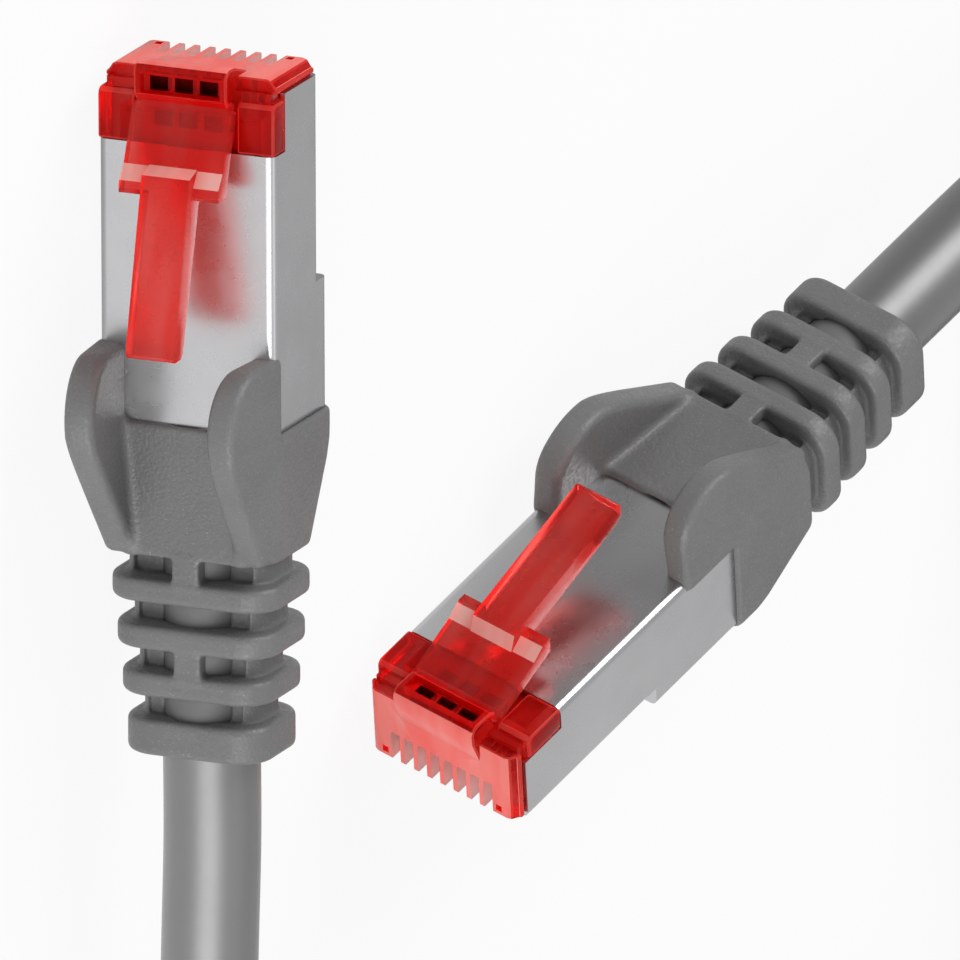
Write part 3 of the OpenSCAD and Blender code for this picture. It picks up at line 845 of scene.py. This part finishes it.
def boot_body(x, y, z):
    """Body around the shield's end, with rounder edges towards the ribs."""
    straight = rounded(x, z, BOOT_HALF, BOOT_BOTTOM, BOOT_TOP, BOOT_R)
    edge = SIDE_EDGE + (RIB_R - SIDE_EDGE) * np.clip((y - SIDE_EDGE_Y) / (BODY_END - SIDE_EDGE_Y), 0, 1)
    narrowed = rounded(x, z, BOOT_HALF - narrowing(y), BOOT_BOTTOM + narrowing(y), BOOT_TOP, edge)
    return both(np.maximum(straight, narrowed), between(y, BOOT_Y, BODY_END), BODY_END_EDGE)


def with_ears(body, x, y, z):
    """Adds the guards beside the latch: upright front, rounded crest, sloping back, hollow inner foot."""
    crest = arc((EAR_Y + EAR_CREST, EAR_FRONT_H), (EAR_CREST, EAR_H - EAR_FRONT_H), 180, 75, 15)
    foot = [(EAR_END, EAR_ROOT), (BOOT_Y, EAR_ROOT), (BOOT_Y, EAR_FOOT)]
    outline = [(EAR_Y, EAR_FOOT)] + crest + EAR_SLOPE + foot
    out = np.abs(x) - BOOT_HALF + narrowing(y)
    rise = z - EAR_ROOT
    depth = -out * math.cos(EAR_LEAN) - rise * math.sin(EAR_LEAN)
    height = EAR_ROOT + rise * math.cos(EAR_LEAN) - out * math.sin(EAR_LEAN)
    ears = both(outline_field(y, height, outline), between(depth, 0, EAR_T), EAR_EDGE)
    inner = ease((depth - EAR_FILLET_START) / (EAR_T - EAR_FILLET_START))
    return either(body, ears, EAR_FILLET + (EAR_FILLET_IN - EAR_FILLET) * inner)


def rib_and_groove(i, x, y, z):
    """A rib, and the groove before it: a neck with recesses, and a full web in every other groove."""
    half = (RIB_W + (RIB_END_W - RIB_W) * i / (RIBS - 1)) / 2
    rise = (RIB_H + (RIB_END_H - RIB_H) * i / (RIBS - 1)) / 2
    start = BODY_END + GROOVE_LEN + RIB_PITCH * i
    end = start + (RIB_END_LEN if i == RIBS - 1 else RIB_LEN)
    rib = both(rounded(x, z, half, AXIS_H - rise, AXIS_H + rise, RIB_R), between(y, start, end), RIB_EDGE)
    groove = np.abs(y - start + GROOVE_LEN / 2)
    side = np.abs(x)
    up = np.abs(z - AXIS_H)
    neck_half = half - GROOVE_DEPTH
    neck_rise = rise - GROOVE_DEPTH
    neck = rounded(x, z, neck_half, AXIS_H - neck_rise, AXIS_H + neck_rise, NECK_R)
    recess = side - neck_half + RECESS_WALL
    if i % 2 == 0:
        recess = np.maximum(recess, WEB_HALF - side)
    recess = both(recess, groove - RECESS_REACH, RECESS_EDGE)
    neck = np.maximum(neck, -np.maximum(recess, RECESS_FLOOR - up))
    if i % 2 == 0:
        neck = np.minimum(neck, both(side - WEB_HALF, up - rise - WEB_PROUD, WEB_EDGE))
    return either(np.maximum(neck, groove - NECK_REACH), rib, GROOVE_FILLET)


def boot_room(x, y, z):
    """Room for the shield, the braid and the cable, a little tight so that no gap shows."""
    bottom = POCKET_IN - STEP_DROP
    pocket = rounded(x, z, HALF_W - POCKET_IN, bottom, PLUG_H - POCKET_TOP_IN, POCKET_R)
    pocket = np.maximum(pocket, y - SHIELD_END - SNUG)
    r = np.hypot(x, z - AXIS_H)
    bore = np.minimum(np.maximum(r - COLLAR_R - SNUG, y - COLLAR_END - SNUG), r - CABLE_R + BORE_IN)
    return np.minimum(pocket, np.maximum(bore, BORE_Y - y))


def boot():
    counts = np.ceil((GRID_HIGH - GRID_LOW) / GRID_STEP).astype(int) + 1
    x, y, z = np.ix_(*[low + GRID_STEP * np.arange(n) for low, n in zip(GRID_LOW, counts)])
    field = with_ears(boot_body(x, y, z), x, y, z)
    for i in range(RIBS):
        field = either(field, rib_and_groove(i, x, y, z), RIB_FILLET)
    field = np.maximum(field, -boot_room(x, y, z))
    points, number = surface_points(field)
    data = bpy.data.meshes.new("boot")
    data.from_pydata((points * GRID_STEP + GRID_LOW).tolist(), [], surface_quads(field, number).tolist())
    data.polygons.foreach_set("use_smooth", [True] * len(data.polygons))
    data.update()
    look = linked(bpy.data.objects.new("boot", data))
    smooth = look.modifiers.new("smooth", "SMOOTH")
    smooth.factor = 0.5
    smooth.iterations = SMOOTHING
    applied(look).data.materials.append(BOOT)
    put_on_plugs(look, "boot", "cable")


boot()

# Coil: spirals in along the lower layer, climbs in half a turn, spirals out along the upper one
COIL_R = 38.0
LEAD_B_LEN = 44.0
BEND_R = 27.0
TURN_PITCH = CABLE_D + 0.5
TIE_W = 10.0
TIE_T = 0.5
STRAIGHT = CABLE_D
COIL_STEPS = 260
COIL_Z = TIE_T + FIT + CABLE_R
COIL_TURNS = 3 + (math.degrees(PLUG_B_YAW) + 90) / 360
COIL_MID = COIL_TURNS / 2
COIL_IN = COIL_R - TURN_PITCH * COIL_MID


def behind_boot(side, distance):
    """A point on the cable's axis behind a plug's boot."""
    return PLUGS[side] @ Vector((0, BOOT_END + distance, AXIS_H))


a_exit = behind_boot("a", 0)
a_out = behind_boot("a", STRAIGHT)
b_exit = behind_boot("b", 0)
b_out = behind_boot("b", STRAIGHT)
along_b = Vector((math.cos(PLUG_B_YAW), math.sin(PLUG_B_YAW), 0))
across_b = Vector((along_b.y, -along_b.x, 0))
coil_c = b_exit + LEAD_B_LEN * along_b + COIL_R * across_b
coil_c.z = 0


def coil_radius(t):
    return COIL_IN + TURN_PITCH * abs(t - COIL_MID)


def coil_at(t):
    r = coil_radius(t)
    z = COIL_Z + TURN_PITCH * ease(2 * (t - COIL_MID) + 0.5)
    return coil_c + Vector((r * math.cos(2 * math.pi * t), r * math.sin(2 * math.pi * t), z))


coil = [coil_at(COIL_TURNS * i / COIL_STEPS) for i in range(COIL_STEPS + 1)]


# Free stretches: straight out of each boot; the first one bends round along the table to the coil's
# start, the second one runs straight to the coil's end
def lead_a():
    line = coil_c.x + COIL_R
    run_start = a_out.y + BEND_R
    run_end = coil_c.y - 3 * STRAIGHT
    path = [a_exit, a_out]
    for angle in range(-90, 1, 15):
        a = math.radians(angle)
        z = CABLE_R + (a_out.z - CABLE_R) * (1 - ease(angle / 90 + 1))
        path.append(Vector((line + BEND_R * (math.cos(a) - 1), run_start + BEND_R * math.sin(a), z)))
    for u in (0.2, 0.4, 0.6, 0.8):
        path.append(Vector((line, run_start + (run_end - run_start) * u, CABLE_R)))
    path.append(Vector((line, run_end, (CABLE_R + COIL_Z) / 2)))
    path.append(Vector((line, coil_c.y - STRAIGHT, COIL_Z)))
    return path + [coil[0]]


def lead_b():
    coil_out = coil[-1] - STRAIGHT * along_b
    path = [coil[-1], coil_out]
    for u in (0.25, 0.5, 0.75):
        p = coil_out.lerp(b_out, u)
        path.append(Vector((p.x, p.y, coil_out.z + (b_out.z - coil_out.z) * ease(u))))
    return path + [b_out, b_exit]


def smooth_path(path, steps=8):
    """A smooth curve through the points of a path, without its last point."""
    ends = [path[0]] + path + [path[-1]]
    out = []
    for p0, p1, p2, p3 in zip(ends, ends[1:], ends[2:], ends[3:]):
        for k in range(steps):
            t = k / steps
            bend = (2 * p0 - 5 * p1 + 4 * p2 - p3) * t ** 2 + (3 * p1 - p0 - 3 * p2 + p3) * t ** 3
            out.append(p1 + 0.5 * ((p2 - p0) * t + bend))
    return out


def cable():
    route = smooth_path(lead_a()) + coil[:-1] + smooth_path(lead_b()) + [b_exit]
    curve = bpy.data.curves.new("cable", "CURVE")
    curve.dimensions = "3D"
    curve.bevel_depth = CABLE_R * MM
    curve.bevel_resolution = 10
    curve.use_fill_caps = True
    spline = curve.splines.new("POLY")
    spline.points.add(len(route) - 1)
    for point, p in zip(spline.points, route):
        point.co = (*(p * MM), 1)
    spline.use_smooth = True
    curve.materials.append(CABLE)
    look = linked(bpy.data.objects.new("cable_look", curve))
    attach(look, "cable")
    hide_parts("lead_a", "cable_coil", "lead_b")
    return look, sum((q - p).length for p, q in zip(route, route[1:]))


# Straps around the four passes of the coil, at two places
PASSES = 4
TIE_R = 2.0
TIE_EDGE = 0.2
TIE_EDGE_IN = 0.24
TIE_ANGLES = {"a": 30, "b": 150}
RINGS_PER_TURN = 24


def strap_outline(near, far, low, high, r):
    corners = (
        (far - r, low + r, -90), (far - r, high - r, 0), (near + r, high - r, 90), (near + r, low + r, 180)
    )
    points = []
    for x, z, start in corners:
        points += arc((x, z), (r, r), start, start + 90, 6)
    return points


def strap_mesh(outer, inner):
    """A band between two outlines, a little thinner at its edges."""
    mesh = bmesh.new()

    def ring(side, other, y, share):
        return [mesh.verts.new((p[0] + (q[0] - p[0]) * share, y, p[1] + (q[1] - p[1]) * share))
                for p, q in zip(side, other)]

    half = TIE_W / 2
    rows = ((-half, TIE_EDGE_IN), (TIE_EDGE - half, 0.0), (half - TIE_EDGE, 0.0), (half, TIE_EDGE_IN))
    outside = [ring(outer, inner, *row) for row in rows]
    inside = [ring(inner, outer, *row) for row in rows]
    loop = outside + inside[::-1]
    for ring_0, ring_1 in zip(loop, loop[1:] + loop[:1]):
        for i in range(len(outer)):
            j = (i + 1) % len(outer)
            mesh.faces.new((ring_0[i], ring_0[j], ring_1[j], ring_1[i])).smooth = True
    bmesh.ops.recalc_face_normals(mesh, faces=mesh.faces)
    return mesh


def strap_piece(side, angle):
    passes = [coil_radius(angle / 360 + i) for i in range(PASSES)]
    swing = math.asin(TIE_W / 2 / min(passes)) + math.pi / RINGS_PER_TURN
    near = min(passes) * math.cos(swing) - CABLE_R - 2 * FIT
    far = max(passes) + CABLE_R + 2 * FIT
    top = COIL_Z + TURN_PITCH + CABLE_R + FIT
    inner = strap_outline(near, far, TIE_T, top, TIE_R)
    outer = strap_outline(near - TIE_T, far + TIE_T, 0.0, top + TIE_T, TIE_R + TIE_T)
    look = as_object(f"strap_look_{side}", strap_mesh(outer, inner))
    look.data.transform(Matrix.Scale(MM, 4))
    look.data.materials.append(STRAP)
    look.matrix_world = Matrix.Translation(coil_c * MM) @ Matrix.Rotation(math.radians(angle), 4, "Z")
    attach(look, "cable")
    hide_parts(f"coil_tie_{side}")
    return look


cord, cord_length = cable()
straps = [strap_piece(side, angle) for side, angle in TIE_ANGLES.items()]


# Floor, room and lamps, in metres
FLOOR_SIZE = 30.0
FLOOR_SHOWN = 0.9
FLOOR_DIM = 0.72
DIM_LEFT = (0.03, -0.03)
DIM_REAR = (-0.045, -0.025)
ROOM_LIGHT = 0.2
ROOM_DIM = 0.34
ROOM_SLOPE = (0.40, -0.16, 0.0)
AIM = Vector((0.0, 0.0, 0.005))


def math_node(tree, operation, *values):
    node = add(tree, "ShaderNodeMath", operation=operation)
    for socket, value in zip(node.inputs, values):
        if isinstance(value, float):
            socket.default_value = value
        else:
            tree.links.new(value, socket)
    return node.outputs[0]


def glossy_rays(tree):
    return add(tree, "ShaderNodeLightPath").outputs["Is Glossy Ray"]


def background_rays(tree):
    """1 on rays that show the background itself: straight, mirrored or through clear plastic."""
    path = add(tree, "ShaderNodeLightPath").outputs
    straight = math_node(tree, "MAXIMUM", path["Is Camera Ray"], path["Is Glossy Ray"])
    return math_node(tree, "MAXIMUM", straight, path["Is Transmission Ray"])


def show(tree, share, usual, shown, output):
    """Lets a share of the rays see the second shader in place of the usual one."""
    mix = add(tree, "ShaderNodeMixShader")
    tree.links.new(share, mix.inputs["Fac"])
    tree.links.new(usual.outputs[0], mix.inputs[1])
    tree.links.new(shown.outputs[0], mix.inputs[2])
    tree.links.new(mix.outputs[0], tree.nodes[output].inputs["Surface"])


def fade(tree, value, start, end):
    node = add(tree, "ShaderNodeMapRange", interpolation_type="SMOOTHSTEP")
    tree.links.new(value, node.inputs["Value"])
    set_inputs(node, {"From Min": start, "From Max": end})
    return node.outputs[0]


def floor():
    """A matt floor that shows as white. In mirrors it dims towards the room's far left, behind plug a."""
    mesh = bmesh.new()
    bmesh.ops.create_grid(mesh, x_segments=4, y_segments=4, size=FLOOR_SIZE)
    ground = as_object("floor", mesh)
    material, tree, matt = new_material("floor")
    place = coords(tree)
    tree.links.new(ramp(tree, noise(tree, place, scale=3.0), 0.86, 0.88), matt.inputs["Base Color"])
    set_inputs(matt, {"Roughness": 0.9, "Specular IOR Level": 0.0})
    axes = add(tree, "ShaderNodeSeparateXYZ")
    tree.links.new(place, axes.inputs[0])
    left = fade(tree, axes.outputs["X"], *DIM_LEFT)
    rear = fade(tree, axes.outputs["Y"], *DIM_REAR)
    dim = math_node(tree, "MULTIPLY", math_node(tree, "MULTIPLY", left, rear), glossy_rays(tree))
    glow = add(tree, "ShaderNodeEmission", Color=(1, 1, 1, 1))
    strength = math_node(tree, "SUBTRACT", 1.0, math_node(tree, "MULTIPLY", dim, FLOOR_DIM))
    tree.links.new(strength, glow.inputs["Strength"])
    share = math_node(tree, "MULTIPLY", background_rays(tree), FLOOR_SHOWN)
    show(tree, share, matt, glow, "Material Output")
    ground.data.materials.append(material)


def room():
    """A white room of low light. In mirrors it dims from its right front to its left rear."""
    scene.world = bpy.data.worlds.new("world")
    scene.world.use_nodes = True
    tree = scene.world.node_tree
    usual = tree.nodes["Background"]
    set_inputs(usual, {"Color": (1, 1, 1, 1), "Strength": ROOM_LIGHT})
    white = add(tree, "ShaderNodeBackground", Color=(1, 1, 1, 1))
    slope = add(tree, "ShaderNodeVectorMath", operation="DOT_PRODUCT")
    tree.links.new(add(tree, "ShaderNodeTexCoord").outputs["Generated"], slope.inputs[0])
    slope.inputs[1].default_value = ROOM_SLOPE
    dim = math_node(tree, "SUBTRACT", ROOM_DIM, slope.outputs["Value"])
    strength = math_node(tree, "SUBTRACT", 1.0, math_node(tree, "MULTIPLY", dim, glossy_rays(tree)))
    tree.links.new(strength, white.inputs["Strength"])
    show(tree, background_rays(tree), usual, white, "World Output")


def lamp(name, place, size, power):
    """A lamp with a lit rectangle, aimed at the middle of the part."""
    data = bpy.data.lights.new(name, "AREA")
    data.shape = "RECTANGLE"
    data.size, data.size_y = size
    data.energy = power
    light = linked(bpy.data.objects.new(name, data))
    light.location = place
    light.rotation_euler = (AIM - light.location).to_track_quat("-Z", "Y").to_euler()
    light.visible_camera = False


floor()
room()
lamp("front", (0.40, -0.58, 0.37), size=(0.6, 0.6), power=4.4)
lamp("side", (-0.61, 0.21, 0.48), size=(0.5, 0.5), power=4.4)
lamp("top", (0.05, 0.10, 0.80), size=(0.4, 0.3), power=0.3)
